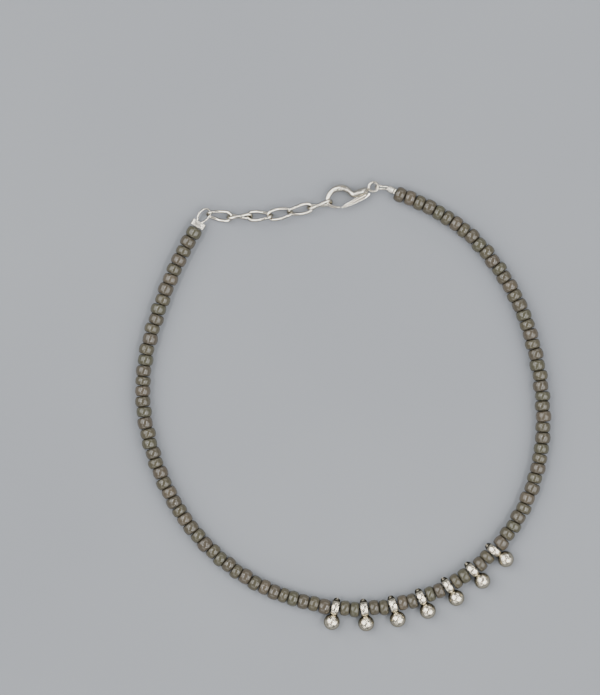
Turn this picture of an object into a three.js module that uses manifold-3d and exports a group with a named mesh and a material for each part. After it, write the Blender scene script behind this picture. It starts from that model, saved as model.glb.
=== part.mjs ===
// Beaded payal anklet, closed and lying flat: a string of glass beads with seven small charms, a wire loop
// and crimp at each end, a short curb chain and a lobster claw clasp. Millimetres, +Z up.
import * as THREE from "three";
import { mergeVertices } from "three/addons/utils/BufferGeometryUtils.js";
import Module from "manifold-3d";

const wasm = await Module();
wasm.setup();

// Bead string
const BEAD_D = 3.1;
const BEAD_LENGTH = 2.068;
const BEAD_UNEVENNESS = 0.12; // share by which a bead is longer or shorter than the mean
const BEAD_SHOULDER = 0.42; // length of the rounded end
const BEAD_SEAM_D = 2.3; // where two beads touch
const BEADS_BEFORE_CHARMS = 46;
const BEADS_BETWEEN_CHARMS = 2;
const CHARM_BEAD_LENGTH = 1.88; // the beads between the charms are a little shorter
const WIRE_D = 0.36;
const BEAD_SIDES = 12;

// Charms
const CHARM_LEANS = [-6, 5, 7, 7, 6, 5, 7]; // degrees towards the clasp end
const BAIL_WIDTH = 1.5;
const BAIL_REACH = 1.62; // half the bail's width across the string
const BAIL_HEIGHT = 3.0;
const BAIL_HOLE_D = 1.3;
const BAIL_CROWN = 0.2; // how far its middle stands above its edges
const BAIL_CLEARANCE = 0.23; // to the bead on each side
const BALL_D = 3.15;
const BALL_OUT = 2.86; // from the string's centre to the ball's
const KNOB_D = 0.56;

// Crimps and wire loops
const CHAIN_CRIMP = { length: 1.25, width: 2.85, thickness: 0.95 };
const CLASP_CRIMP = { length: 1.15, width: 1.3, thickness: 1.1 };
const CRIMP_BEVEL = 0.12;
const CHAIN_CRIMP_TO_BEAD = 0.15;
const CHAIN_LOOP_REACH = 2.75;
const CHAIN_LOOP_WIDTH = 2.0;
const CLASP_LOOP_REACH = 2.35;
const CLASP_LOOP_SPREAD = 1.3; // between its two strands
const CLASP_LOOP_HEADING = 175; // degrees, from the crimp to the clasp's ring
const CLASP_LOOP_ROLL = 64; // degrees that its plane stands off the flat
const LOOP_STEPS = 22;
const WIRE_END_LENGTH = 0.95;
const WIRE_END_DIP = 0.3; // how far its tip bends down
const FIT_GAP = 0.05;
const LOOP_GAP = 0.17; // a loop leaves its crimp at a slant, so it stops a little farther off

// Chain
const LINK_WIDTH = 2.6;
const LINK_WIRE_D = 0.63;
const LINK_TWIST = -70; // degrees from one end of a link to the other
const LINK_ROLLS = [38, 88, -38, -15, 36, 88]; // degrees, as the links happen to lie
const CHAIN_SAG = [0, -0.88, -1.15, -1.42, -1.1, -0.6, 0]; // sideways at each joint of two links
const LINK_SIDES = 6;
const BEND_STEPS = 7; // round each end of a link

// Clasp
const CLASP_HEADING = 197; // degrees, from its ring to its hook
const CLASP_REACH = 9.5; // from the ring's centre to the middle of the hook
const CLASP_BELLY = 1.8; // how far the back bows out
const CLASP_THICKNESS = 2.6;
const SPINE_WIDTH = 1.45;
const RING_D = 2.3;
const RING_WIRE_D = 0.5;
const CLASP_SIDES = 10;
const LEVER_THICKNESS = 0.8;
const LEVER_BEVEL = 0.08;
const LEVER_SWING = 18; // degrees that the lever opens
const LEVER_CLEARANCE = 0.08;
const PIVOT = { along: 1.95, side: 0.42 };
const PIN_D = 0.44;
const PIN_LENGTH = 1.9;
const PIN_CLEARANCE = 0.06;

// Plan route of the wire from the middle of the chain's crimp to the middle of the clasp's crimp.
const ROUTE = [
  [-28.4, 35.8],
  [-29.5, 33.9],
  [-33.1, 26.9],
  [-36.3, 18.5],
  [-38.7, 9.8],
  [-39.2, 0.8],
  [-37.6, -8.0],
  [-34.3, -16.4],
  [-29.5, -24.0],
  [-23.2, -30.4],
  [-15.6, -35.3],
  [-7.1, -38.3],
  [1.8, -39.6],
  [10.7, -38.7],
  [19.2, -35.8],
  [26.8, -30.8],
  [32.8, -24.2],
  [36.9, -16.2],
  [39.0, -7.4],
  [39.1, 1.6],
  [37.7, 10.5],
  [35.0, 19.1],
  [30.6, 27.0],
  [24.8, 33.8],
  [17.4, 38.9],
  [11.2, 41.7],
  [9.4, 42.6],
];

// The wire loop at the chain end: forward as a share of its reach, side as a share of its width.
const CHAIN_LOOP = [
  { forward: 0.0, side: 0.3 },
  { forward: 0.2, side: 0.43 },
  { forward: 0.56, side: 0.42 },
  { forward: 0.86, side: 0.26 },
  { forward: 1.0, side: -0.03 },
  { forward: 0.95, side: -0.31 },
  { forward: 0.77, side: -0.51 },
  { forward: 0.48, side: -0.53 },
  { forward: 0.2, side: -0.38 },
  { forward: 0.0, side: -0.27 },
];
const CHAIN_LOOP_SEAT = 6; // the row that the first link hangs on

// The wire loop at the clasp end: forward as a share of its reach, side as a share of its spread.
const CLASP_LOOP = [
  { forward: 0.0, side: 0.4 },
  { forward: 0.35, side: 0.5 },
  { forward: 0.8, side: 0.48 },
  { forward: 0.96, side: 0.28 },
  { forward: 1.0, side: 0.0 },
  { forward: 0.96, side: -0.28 },
  { forward: 0.8, side: -0.48 },
  { forward: 0.35, side: -0.5 },
  { forward: 0.0, side: -0.4 },
];

// Centre line and sections of the clasp body, from the ring along the body and the bowed back round the hook:
// along as a share of the reach, side of the belly, width of the spine's width, height of the thickness.
const CLASP_SECTIONS = [
  { along: 0.1, side: 0.06, width: 0.4, height: 0.22 },
  { along: 0.15, side: 0.09, width: 0.74, height: 0.58 },
  { along: 0.21, side: 0.12, width: 0.99, height: 0.9 },
  { along: 0.31, side: 0.15, width: 0.98, height: 1.0 },
  { along: 0.4, side: 0.2, width: 0.99, height: 0.95 },
  { along: 0.462, side: 0.15, width: 0.97, height: 0.86 },
  { along: 0.5, side: -0.26, width: 0.7, height: 0.76 },
  { along: 0.535, side: -0.57, width: 0.8, height: 0.7 },
  { along: 0.595, side: -0.87, width: 0.96, height: 0.64 },
  { along: 0.685, side: -0.98, width: 0.98, height: 0.6 },
  { along: 0.775, side: -0.98, width: 0.88, height: 0.54 },
  { along: 0.865, side: -0.83, width: 0.74, height: 0.45 },
  { along: 0.94, side: -0.54, width: 0.66, height: 0.36 },
  { along: 0.985, side: -0.2, width: 0.58, height: 0.28 },
  { along: 1.0, side: 0.18, width: 0.52, height: 0.24 },
  { along: 0.98, side: 0.54, width: 0.42, height: 0.23 },
  { along: 0.93, side: 0.78, width: 0.4, height: 0.22 },
  { along: 0.855, side: 0.965, width: 0.37, height: 0.22 },
  { along: 0.775, side: 1.055, width: 0.33, height: 0.21 },
];
const HOOK_SEAT = 14; // the row that the last link hangs on

// Outline of the lever in the clasp's frame, along and side as shares of the reach and the belly.
const LEVER_OUTLINE = [
  { along: 0.747, side: 1.1 },
  { along: 0.59, side: 0.84 },
  { along: 0.434, side: 0.635 },
  { along: 0.29, side: 0.4 },
  { along: 0.255, side: 0.12 },
  { along: 0.205, side: -0.03 },
  { along: 0.158, side: 0.12 },
  { along: 0.13, side: 0.42 },
  { along: 0.11, side: 0.66 },
  { along: 0.176, side: 0.85 },
  { along: 0.254, side: 0.98 },
  { along: 0.415, side: 1.12 },
  { along: 0.566, side: 1.24 },
  { along: 0.674, side: 1.28 },
  { along: 0.747, side: 1.2 },
];

const UP = new THREE.Vector3(0, 0, 1);
const glass = { color: 0x7d786e, roughness: 0.25, metalness: 0 };
const silver = { color: 0xd5d3cd, roughness: 0.28, metalness: 1 };
const oxidised = { color: 0xbdbab2, roughness: 0.38, metalness: 1 };

const anklet = new THREE.Group();

function add(name, geometry, look, parent = anklet) {
  const mesh = new THREE.Mesh(geometry, new THREE.MeshStandardMaterial(look));
  mesh.name = name;
  parent.add(mesh);
  return mesh;
}

// A closed body skinned over rings of points, capped at both ends unless the rings run round.
function skin(rings, runsRound = false) {
  const sides = rings[0].length;
  const spans = runsRound ? rings.length : rings.length - 1;
  const index = [];
  for (let i = 0; i < spans; i++) {
    const a = i * sides;
    const b = ((i + 1) % rings.length) * sides;
    for (let k = 0; k < sides; k++) {
      const n = (k + 1) % sides;
      index.push(a + k, a + n, b + k, a + n, b + n, b + k);
    }
  }
  if (!runsRound) {
    const end = spans * sides;
    for (let k = 1; k < sides - 1; k++) {
      index.push(0, k + 1, k, end, end + k, end + k + 1);
    }
  }
  const points = rings.flat().flatMap((p) => [p.x, p.y, p.z]);
  const geometry = new THREE.BufferGeometry();
  geometry.setAttribute("position", new THREE.Float32BufferAttribute(points, 3));
  geometry.setIndex(index);
  geometry.computeVertexNormals();
  return geometry;
}

// An even ring of points round a centre, wide across the run and high along up, first point to the side.
function ring(centre, tangent, up, wide, high, sides, turn = 0) {
  const side = new THREE.Vector3().crossVectors(up, tangent).normalize();
  const over = new THREE.Vector3().crossVectors(tangent, side).normalize();
  return Array.from({ length: sides }, (_, k) => {
    const angle = ((k + turn) * 2 * Math.PI) / sides;
    return centre
      .clone()
      .addScaledVector(side, (wide / 2) * Math.cos(angle))
      .addScaledVector(over, (high / 2) * Math.sin(angle));
  });
}

function solid(geometry) {
  const bare = geometry.clone();
  bare.deleteAttribute("normal");
  bare.deleteAttribute("uv");
  const merged = mergeVertices(bare, 1e-5);
  const vertProperties = new Float32Array(merged.attributes.position.array);
  const triVerts = new Uint32Array(merged.index.array);
  return new wasm.Manifold(new wasm.Mesh({ numProp: 3, vertProperties, triVerts }));
}

function fromSolid(manifold) {
  const mesh = manifold.getMesh();
  const geometry = new THREE.BufferGeometry();
  geometry.setAttribute("position", new THREE.BufferAttribute(mesh.vertProperties, 3));
  geometry.setIndex(new THREE.BufferAttribute(mesh.triVerts, 1));
  geometry.computeVertexNormals();
  return geometry;
}

function curveThrough(points) {
  const curve = new THREE.CatmullRomCurve3(points, false, "centripetal");
  curve.arcLengthDivisions = 40 * points.length;
  return curve;
}

// Turns a shape drawn across and up, and extruded along its own Z, to run along X.
const ALONG_X = new THREE.Matrix4().makeBasis(
  new THREE.Vector3(0, 1, 0),
  UP,
  new THREE.Vector3(1, 0, 0),
);

function roundShape(diameter, sides) {
  const corners = Array.from({ length: sides }, (_, k) => {
    const angle = (k * 2 * Math.PI) / sides;
    return new THREE.Vector2(Math.cos(angle), Math.sin(angle)).multiplyScalar(diameter / 2);
  });
  return new THREE.Shape(corners);
}

function wire(points, steps) {
  const extrudePath = curveThrough(points);
  return new THREE.ExtrudeGeometry(roundShape(WIRE_D, LINK_SIDES), { steps, extrudePath });
}

// Bead string: stations along the wire, each with a diameter, from the chain's crimp to the clasp's.
const STRING_Z = BEAD_D / 2;
const route = curveThrough(ROUTE.map(([x, y]) => new THREE.Vector3(x, y, STRING_Z)));
const routeLength = route.getLength();
const charmSlot = BAIL_WIDTH + 2 * BAIL_CLEARANCE;
const claspCrimpToBead = WIRE_D + 2 * FIT_GAP;

// How much longer or shorter than the mean one bead is, from -1 to 1.
function unevenness(bead) {
  return 0.6 * Math.sin(2.4 * bead) + 0.4 * Math.sin(5.3 * bead + 1);
}

const stations = [];
const charmPlaces = [];
let at = CHAIN_CRIMP.length / 2 + CHAIN_CRIMP_TO_BEAD;
let beads = 0;

function threadBeads(count, length) {
  const shares = Array.from({ length: count }, (_, k) => 1 + BEAD_UNEVENNESS * unevenness(beads + k));
  const mean = shares.reduce((sum, share) => sum + share, 0) / count;
  for (const share of shares) {
    const beadLength = (length * share) / mean;
    stations.push({ at, d: BEAD_SEAM_D });
    stations.push({ at: at + BEAD_SHOULDER, d: BEAD_D });
    stations.push({ at: at + beadLength - BEAD_SHOULDER, d: BEAD_D });
    at += beadLength;
  }
  stations.push({ at, d: BEAD_SEAM_D });
  beads += count;
}

stations.push({ at: CHAIN_CRIMP.length / 2 + FIT_GAP, d: WIRE_D });
stations.push({ at, d: WIRE_D });
threadBeads(BEADS_BEFORE_CHARMS, BEAD_LENGTH);
CHARM_LEANS.forEach((lean, k) => {
  charmPlaces.push({ at: at + charmSlot / 2, lean });
  stations.push({ at, d: WIRE_D }, { at: at + charmSlot, d: WIRE_D });
  at += charmSlot;
  if (k < CHARM_LEANS.length - 1) threadBeads(BEADS_BETWEEN_CHARMS, CHARM_BEAD_LENGTH);
});
const lastBeadEnd = routeLength - CLASP_CRIMP.length / 2 - claspCrimpToBead;
const beadsAfterCharms = Math.round((lastBeadEnd - at) / BEAD_LENGTH);
threadBeads(beadsAfterCharms, (lastBeadEnd - at) / beadsAfterCharms);
stations.push({ at, d: WIRE_D });
stations.push({ at: routeLength - CLASP_CRIMP.length / 2 - FIT_GAP, d: WIRE_D });

// The flats of the polygon, not its corners, lie on the true diameter, so the beads rest on a flat.
const overCorners = 1 / Math.cos(Math.PI / BEAD_SIDES);
const stringRings = stations.map((station) => {
  const u = station.at / routeLength;
  const d = station.d * overCorners;
  return ring(route.getPointAt(u), route.getTangentAt(u), UP, d, d, BEAD_SIDES, 0.5);
});
add("bead_string", skin(stringRings), glass);

// Charm: a crowned band round the wire, with the ball cast on outside and a small knob inside.
function bail() {
  const edge = BAIL_HEIGHT / 2 - BAIL_CROWN;
  const crest = BAIL_HEIGHT / 2;
  const profile = [
    [BAIL_HOLE_D / 2, -BAIL_WIDTH / 2],
    [edge, -BAIL_WIDTH / 2],
    [crest, -BAIL_WIDTH / 5],
    [crest, BAIL_WIDTH / 5],
    [edge, BAIL_WIDTH / 2],
    [BAIL_HOLE_D / 2, BAIL_WIDTH / 2],
    [BAIL_HOLE_D / 2, -BAIL_WIDTH / 2],
  ].map(([radius, along]) => new THREE.Vector2(radius, along));
  const band = new THREE.LatheGeometry(profile, BEAD_SIDES);
  band.rotateZ(Math.PI / 2);
  band.scale(1, (2 * BAIL_REACH) / BAIL_HEIGHT, 1);
  return band;
}

function charmGeometry() {
  const ball = new THREE.SphereGeometry(BALL_D / 2, BEAD_SIDES, 8);
  ball.translate(0, BALL_OUT, BALL_D / 2 - STRING_Z);
  const knob = new THREE.SphereGeometry(KNOB_D / 2, 8, 5);
  knob.translate(0, -BAIL_REACH, 0);
  return fromSolid(solid(bail()).add(solid(ball)).add(solid(knob)));
}

const charm = charmGeometry();
charmPlaces.forEach((place, k) => {
  const mesh = add(`charm_${k + 1}`, charm, oxidised);
  const tangent = route.getTangentAt(place.at / routeLength);
  mesh.position.copy(route.getPointAt(place.at / routeLength));
  mesh.rotation.z = Math.atan2(tangent.y, tangent.x) + Math.PI + THREE.MathUtils.degToRad(place.lean);
});

// Crimps: short tubes squeezed flat on the wire, at the two ends of the route.
function crimpGeometry({ length, width, thickness }) {
  const straight = (width - thickness) / 2;
  const shape = new THREE.Shape();
  shape.absarc(straight, 0, thickness / 2, -Math.PI / 2, Math.PI / 2, false);
  shape.absarc(-straight, 0, thickness / 2, Math.PI / 2, (3 * Math.PI) / 2, false);
  const body = new THREE.ExtrudeGeometry(shape, {
    depth: length - 2 * CRIMP_BEVEL,
    bevelSize: CRIMP_BEVEL,
    bevelOffset: -CRIMP_BEVEL,
    bevelThickness: CRIMP_BEVEL,
    bevelSegments: 1,
    curveSegments: 5,
  });
  body.translate(0, 0, CRIMP_BEVEL - length / 2);
  return body.applyMatrix4(ALONG_X);
}

// A group at one end of the route, its X pointing out of the string.
function stringEnd(u, turn) {
  const group = new THREE.Group();
  const tangent = route.getTangentAt(u);
  group.position.copy(route.getPointAt(u));
  group.rotation.z = Math.atan2(tangent.y, tangent.x) + turn;
  anklet.add(group);
  group.updateMatrixWorld();
  return group;
}

const CHAIN_Z = LINK_WIDTH / 2;
const CLASP_Z = CLASP_THICKNESS / 2;
const chainEnd = stringEnd(0, Math.PI);
const claspEnd = stringEnd(1, 0);
add("chain_crimp", crimpGeometry(CHAIN_CRIMP), silver, chainEnd);
add("clasp_crimp", crimpGeometry(CLASP_CRIMP), silver, claspEnd);

const chainLoopPoints = CHAIN_LOOP.map((row) => {
  const x = CHAIN_CRIMP.length / 2 + LOOP_GAP + row.forward * CHAIN_LOOP_REACH;
  return new THREE.Vector3(x, row.side * CHAIN_LOOP_WIDTH, row.forward * (CHAIN_Z - STRING_Z));
});
add("chain_wire_loop", wire(chainLoopPoints, LOOP_STEPS), silver, chainEnd);

// The clasp's loop leaves the crimp a little turned, and its rolled plane lets the ring through.
const ringRadius = (RING_D - RING_WIRE_D) / 2;
const insideRing = (RING_WIRE_D + WIRE_D) / 2 + FIT_GAP;
const loopTurn = THREE.MathUtils.degToRad(CLASP_LOOP_HEADING) - claspEnd.rotation.z;
const loopRoll = THREE.MathUtils.degToRad(CLASP_LOOP_ROLL);
const claspLoopStart = CLASP_CRIMP.length / 2 + LOOP_GAP;

function onClaspLoop(forward, side) {
  const point = new THREE.Vector3(forward, side * Math.cos(loopRoll), side * Math.sin(loopRoll));
  point.applyAxisAngle(UP, loopTurn);
  point.x += claspLoopStart;
  point.z += Math.min(1, forward / (CLASP_LOOP_REACH - insideRing)) * (CLASP_Z - STRING_Z);
  return point;
}

const claspLoopPoints = CLASP_LOOP.map((row) =>
  onClaspLoop(row.forward * CLASP_LOOP_REACH, -row.side * CLASP_LOOP_SPREAD),
);
add("clasp_wire_loop", wire(claspLoopPoints, LOOP_STEPS), silver, claspEnd);

// The cut end of the wire lies across the crimp's bead side, just over the wire itself.
const endX = -CLASP_CRIMP.length / 2 - claspCrimpToBead / 2;
const wireEndPoints = [0.45, 0.1, -0.3, -0.55].map((share) => {
  const over = WIRE_D + 2 * FIT_GAP - WIRE_END_DIP * share * share;
  return new THREE.Vector3(endX, share * WIRE_END_LENGTH, over);
});
add("wire_end", wire(wireEndPoints, 5), silver, claspEnd);

// Clasp: the ring lies round the clasp group's origin, and the loop's end lies inside the ring.
const clasp = new THREE.Group();
const ringAt = claspEnd.localToWorld(onClaspLoop(CLASP_LOOP_REACH - insideRing + ringRadius, 0));
clasp.position.set(ringAt.x, ringAt.y, CLASP_Z);
clasp.rotation.z = THREE.MathUtils.degToRad(CLASP_HEADING);
anklet.add(clasp);
clasp.updateMatrixWorld();

function inClasp({ along, side }) {
  return new THREE.Vector3(along * CLASP_REACH, side * CLASP_BELLY, 0);
}

const pivot = new THREE.Vector3(PIVOT.along, PIVOT.side, 0);

function leverShape() {
  return new THREE.Shape(LEVER_OUTLINE.map((row) => new THREE.Vector2(inClasp(row).x, inClasp(row).y)));
}

function pinGeometry(clearance, length) {
  const pin = new THREE.CylinderGeometry(PIN_D / 2 + clearance, PIN_D / 2 + clearance, length, BEAD_SIDES);
  pin.rotateX(Math.PI / 2);
  return pin.translate(pivot.x, pivot.y, 0);
}

// The space that the lever sweeps in the body as it opens.
function leverSlot() {
  const room = new THREE.ExtrudeGeometry(leverShape(), {
    depth: LEVER_THICKNESS,
    bevelSize: LEVER_CLEARANCE,
    bevelThickness: LEVER_CLEARANCE,
    bevelSegments: 1,
  });
  room.translate(-pivot.x, -pivot.y, -LEVER_THICKNESS / 2);
  const steps = 3;
  let swept = solid(room);
  for (let k = 1; k <= steps; k++) {
    const turned = room.clone().rotateZ(THREE.MathUtils.degToRad((-LEVER_SWING * k) / steps));
    swept = swept.add(solid(turned));
  }
  return swept.translate([pivot.x, pivot.y, 0]);
}

function claspBody() {
  const centreLine = curveThrough(CLASP_SECTIONS.map(inClasp));
  const rings = CLASP_SECTIONS.map((row, k) => {
    const tangent = centreLine.getTangent(k / (CLASP_SECTIONS.length - 1));
    const wide = row.width * SPINE_WIDTH;
    return ring(inClasp(row), tangent, UP, wide, row.height * CLASP_THICKNESS, CLASP_SIDES, 0.5);
  });
  const eye = new THREE.TorusGeometry(ringRadius, RING_WIRE_D / 2, LINK_SIDES, 16);
  return fromSolid(
    solid(skin(rings))
      .add(solid(eye))
      .subtract(leverSlot())
      .subtract(solid(pinGeometry(PIN_CLEARANCE, 2 * CLASP_THICKNESS))),
  );
}

function leverGeometry() {
  const lever = new THREE.ExtrudeGeometry(leverShape(), {
    depth: LEVER_THICKNESS - 2 * LEVER_BEVEL,
    bevelSize: LEVER_BEVEL,
    bevelOffset: -LEVER_BEVEL,
    bevelThickness: LEVER_BEVEL,
    bevelSegments: 1,
  });
  lever.translate(0, 0, LEVER_BEVEL - LEVER_THICKNESS / 2);
  return fromSolid(solid(lever).subtract(solid(pinGeometry(PIN_CLEARANCE, 2 * CLASP_THICKNESS))));
}

add("clasp_body", claspBody(), silver, clasp);
add("clasp_lever", leverGeometry(), silver, clasp);
add("clasp_pin", pinGeometry(0, PIN_LENGTH), silver, clasp);

// Chain: it runs from the wire loop to the hook, and the links are as long as that takes.
function linkPoints(length, width) {
  const radius = width / 2;
  const straight = length / 2 - radius;
  const points = [];
  for (const end of [1, -1]) {
    for (let k = 0; k <= BEND_STEPS; k++) {
      const angle = (k / BEND_STEPS - 0.5) * Math.PI;
      points.push([end * (straight + radius * Math.cos(angle)), end * radius * Math.sin(angle)]);
    }
    points.push([(end * straight) / 3, end * radius], [(-end * straight) / 3, end * radius]);
  }
  return points;
}

function linkGeometry(outerLength) {
  const length = outerLength - LINK_WIRE_D;
  const twist = THREE.MathUtils.degToRad(LINK_TWIST) / length;
  const centreLine = linkPoints(length, LINK_WIDTH - LINK_WIRE_D).map(([x, y]) => {
    return new THREE.Vector3(x, y * Math.cos(twist * x), y * Math.sin(twist * x));
  });
  const rings = centreLine.map((point, k) => {
    const next = centreLine[(k + 1) % centreLine.length];
    const last = centreLine.at(k - 1);
    const tangent = next.clone().sub(last).normalize();
    const up = new THREE.Vector3(0, -Math.sin(twist * point.x), Math.cos(twist * point.x));
    return ring(point, tangent, up, LINK_WIRE_D, LINK_WIRE_D, LINK_SIDES);
  });
  return skin(rings, true);
}

function chainJoints() {
  const loopSeat = chainEnd.localToWorld(chainLoopPoints[CHAIN_LOOP_SEAT].clone());
  const hookRow = CLASP_SECTIONS[HOOK_SEAT];
  const hookSeat = clasp.localToWorld(inClasp(hookRow));
  const direction = hookSeat.clone().sub(loopSeat).setZ(0).normalize();
  const across = new THREE.Vector3().crossVectors(UP, direction);
  const past = (LINK_WIRE_D + FIT_GAP) / 2;
  const fromLoop = (LINK_WIRE_D + WIRE_D) / 2 + FIT_GAP - past;
  const fromHook = (LINK_WIRE_D + hookRow.width * SPINE_WIDTH) / 2 + FIT_GAP - past;
  const start = loopSeat.addScaledVector(direction, -fromLoop).setZ(CHAIN_Z);
  const end = hookSeat.addScaledVector(direction, fromHook).setZ(CHAIN_Z);
  const links = LINK_ROLLS.length;
  return CHAIN_SAG.map((sag, k) => start.clone().lerp(end, k / links).addScaledVector(across, sag));
}

const joints = chainJoints();
const pitches = LINK_ROLLS.map((_, k) => joints[k].distanceTo(joints[k + 1]));
const link = linkGeometry(Math.max(...pitches) + 2 * LINK_WIRE_D + FIT_GAP);
LINK_ROLLS.forEach((roll, k) => {
  const mesh = add(`chain_link_${k + 1}`, link, silver);
  const run = joints[k + 1].clone().sub(joints[k]);
  mesh.position.copy(joints[k]).addScaledVector(run, 0.5);
  mesh.rotation.set(THREE.MathUtils.degToRad(roll), 0, Math.atan2(run.y, run.x), "ZYX");
});

// The middle of the anklet's box in plan is the origin, and the beads rest at height 0.
anklet.updateMatrixWorld(true);
const middle = new THREE.Box3().setFromObject(anklet, true).getCenter(new THREE.Vector3());
anklet.position.set(-middle.x, -middle.y, 0);

export default anklet;
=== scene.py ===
# %% [markdown]
# # A beaded payal anklet, modelled and dressed in Blender
#
# The object is a closed anklet that lies flat: a string of grey glass beads, seven small cast silver charms among
# them, and a short curb chain with a lobster claw clasp. Its solids come in as a fixed frame. Each of them has few
# faces, so every piece is modelled again here, finer and in the same place, and stands for its solid.

import math

import bmesh
import bpy
import numpy as np
from mathutils import Matrix, Vector


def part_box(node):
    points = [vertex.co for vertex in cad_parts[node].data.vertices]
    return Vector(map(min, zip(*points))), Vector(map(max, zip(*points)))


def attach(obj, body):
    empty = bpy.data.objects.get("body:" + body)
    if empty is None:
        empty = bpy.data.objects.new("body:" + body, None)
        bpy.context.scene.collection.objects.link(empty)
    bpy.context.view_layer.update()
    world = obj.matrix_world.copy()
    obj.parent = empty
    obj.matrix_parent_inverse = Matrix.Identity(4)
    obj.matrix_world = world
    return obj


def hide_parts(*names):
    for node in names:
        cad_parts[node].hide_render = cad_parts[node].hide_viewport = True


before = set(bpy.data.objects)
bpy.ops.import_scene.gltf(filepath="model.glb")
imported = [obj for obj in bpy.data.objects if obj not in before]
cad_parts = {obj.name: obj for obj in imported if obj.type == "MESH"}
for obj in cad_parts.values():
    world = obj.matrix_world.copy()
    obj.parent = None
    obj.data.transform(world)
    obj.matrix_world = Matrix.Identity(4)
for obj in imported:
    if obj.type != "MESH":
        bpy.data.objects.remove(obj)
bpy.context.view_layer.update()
MM = 0.001

# %% [markdown]
# ## Camera
#
# The photograph was taken from straight above. The camera therefore looks down, and its lens is worked out so that
# one picture height covers the same stretch of the surface, at the height of the beads' middle.

# %% Camera
VIEW_HEIGHT = 136.27 * MM
VIEW_MIDDLE = (-8.433 * MM, 11.49 * MM)
BEAD_MIDDLE = 1.55 * MM
CAMERA_DISTANCE = 0.6
SENSOR = 24.0

camera_data = bpy.data.cameras.new("overhead_camera")
camera_data.sensor_fit = "VERTICAL"
camera_data.sensor_height = SENSOR
camera_data.lens = SENSOR * CAMERA_DISTANCE / VIEW_HEIGHT
camera_data.clip_start = 0.01
camera = bpy.data.objects.new("overhead_camera", camera_data)
camera.location = (*VIEW_MIDDLE, BEAD_MIDDLE + CAMERA_DISTANCE)
bpy.context.collection.objects.link(camera)
bpy.context.scene.camera = camera
print("lens in mm:", round(camera_data.lens, 1))

# %% [markdown]
# ## Helpers for modelling
#
# An operator works on whatever is selected, so these helpers make each selection plain: the objects to work on, and the
# faces, edges or points to work on, found by their place and the way that they face. The rest apply a modifier, a
# place, a copy or a join in one call.

# %% Helpers for modelling
def only(*things):
    """Selects these objects alone, and makes the last one active."""
    bpy.ops.object.select_all(action="DESELECT")
    for thing in things:
        thing.select_set(True)
    bpy.context.view_layer.objects.active = things[-1]
    return things[-1]


def middle_of(part):
    """Middle of a face, edge or point in millimetres."""
    corners = [part] if isinstance(part, bmesh.types.BMVert) else part.verts
    return sum((corner.co for corner in corners), Vector()) / len(corners) / MM


def pick(kind, test):
    """In edit mode, selects the FACE, EDGE or VERT parts whose middle and normal pass the test."""
    bpy.ops.mesh.select_mode(type=kind)
    bpy.ops.mesh.select_all(action="DESELECT")
    form = bmesh.from_edit_mesh(bpy.context.object.data)
    form.normal_update()
    parts = {"FACE": form.faces, "EDGE": form.edges, "VERT": form.verts}[kind]
    for part in parts:
        facing = Vector() if kind == "EDGE" else part.normal
        if test(middle_of(part), facing):
            part.select_set(True)
    form.select_flush_mode()
    bmesh.update_edit_mesh(bpy.context.object.data)


def set_down(thing):
    """Moves an object's place, turn and size into its mesh."""
    only(thing)
    bpy.ops.object.transform_apply(location=True, rotation=True, scale=True)
    return thing


def copy_of(thing, name, place, turn, size=(1, 1, 1)):
    """A copy with its own mesh, set down at a place in millimetres."""
    copy = thing.copy()
    copy.data = thing.data.copy()
    copy.name = name
    bpy.context.collection.objects.link(copy)
    copy.location = [length * MM for length in place]
    copy.rotation_euler = turn
    copy.scale = size
    return set_down(copy)


SAME_POINT = 0.0005  # mm within which two points are one


def outward(thing):
    """Merges doubled points and turns every face outwards."""
    only(thing)
    bpy.ops.object.mode_set(mode="EDIT")
    bpy.ops.mesh.select_all(action="SELECT")
    bpy.ops.mesh.remove_doubles(threshold=SAME_POINT * MM)
    bpy.ops.mesh.normals_make_consistent(inside=False)
    bpy.ops.object.mode_set(mode="OBJECT")


def finish_with(thing, kind, **settings):
    """Adds a modifier with its settings and applies it."""
    modifier = thing.modifiers.new(kind.lower(), kind)
    for setting, value in settings.items():
        setattr(modifier, setting, value)
    only(thing)
    bpy.ops.object.modifier_apply(modifier=modifier.name)


def soften(thing, levels):
    finish_with(thing, "SUBSURF", levels=levels, render_levels=levels)


def joined(name, *things):
    only(*things)
    bpy.ops.object.join()
    whole = bpy.context.object
    whole.name = name
    whole.data.name = name
    return whole


# %% [markdown]
# ## Routes
#
# The wire runs through a few chosen points on a smooth curve, and every bead, charm and crimp sits at its distance
# along it. The curve is a centripetal one, which never loops or swings out between two points.

# %% Routes
def smooth_path(points, steps=40):
    """Fine points of the smooth curve through the given ones, and the distance run at each."""
    rows = np.array(points, float)
    rows = np.vstack([2 * rows[0] - rows[1], rows, 2 * rows[-1] - rows[-2]])
    fine = []
    for a, b, c, d in zip(rows, rows[1:], rows[2:], rows[3:]):
        before, within, after = (math.sqrt(np.linalg.norm(q - p)) for p, q in ((a, b), (b, c), (c, d)))
        leave = ((b - a) / before - (c - a) / (before + within) + (c - b) / within) * within
        reach = ((c - b) / within - (d - b) / (within + after) + (d - c) / after) * within
        for t in np.arange(steps) / steps:
            bend = (2 * b - 2 * c + leave + reach) * t**3
            fine.append(bend + (3 * c - 3 * b - 2 * leave - reach) * t**2 + leave * t + b)
    fine = np.array([*fine, rows[-2]])
    run = np.concatenate([[0], np.cumsum(np.linalg.norm(np.diff(fine, axis=0), axis=1))])
    return fine, run


HEADING_STEP = 0.05  # mm to each side, between which a path's heading is read


def on_path(path, distance):
    """The place on a path at a distance along it, and the heading there in radians."""
    fine, run = path
    place, before, after = (
        np.array([np.interp(distance + step, run, axis) for axis in fine.T])
        for step in (0, -HEADING_STEP, HEADING_STEP)
    )
    ahead = after - before
    return Vector(place), math.atan2(ahead[1], ahead[0])


def middle_mm(node):
    low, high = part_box(node)
    return (Vector(low) + Vector(high)) / 2 / MM


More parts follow.
